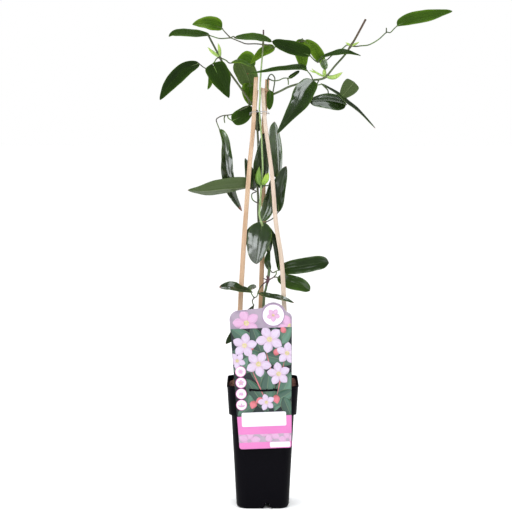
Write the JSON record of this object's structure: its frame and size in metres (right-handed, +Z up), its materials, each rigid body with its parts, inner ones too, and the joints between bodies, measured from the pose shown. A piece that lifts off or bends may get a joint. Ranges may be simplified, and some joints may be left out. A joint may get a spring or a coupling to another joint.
{
  "type": "potted apple blossom clematis",
  "caption": "Climbing evergreen clematis with long leathery leaves, trained up tied wooden canes in a tall square black nursery pot with a hanging plant card.",
  "frame": {"origin": "centre of the bounding box in plan, at the surface the pot stands on", "axes": "+Z up along the canes; the front with the card faces -Y; the longest shoot reaches towards +X"},
  "size_m": [0.4368, 0.1136, 0.7597],
  "materials": {
    "pot": "satin black moulded plastic",
    "soil": "rough brown coir mix",
    "cane_left": "pale split wood",
    "cane_right": "pale split wood",
    "cane_back": "tan split wood",
    "tie_wire": "thin grey wire",
    "label": "printed plastic card",
    "vine_center": "glossy leathery leaves on a pale green shoot",
    "vine_left": "glossy leathery leaves on a dark ridged shoot",
    "vine_right": "glossy leathery leaves on a ridged shoot"
  },
  "bodies": {
    "root": {"pot": "pot", "soil": "soil", "cane_left": "cane_left", "cane_right": "cane_right", "cane_back": "cane_back", "tie_wire": "tie_wire", "label": "label", "vine_center": "vine_center", "vine_left": "vine_left", "vine_right": "vine_right"}
  },
  "joints": []
}
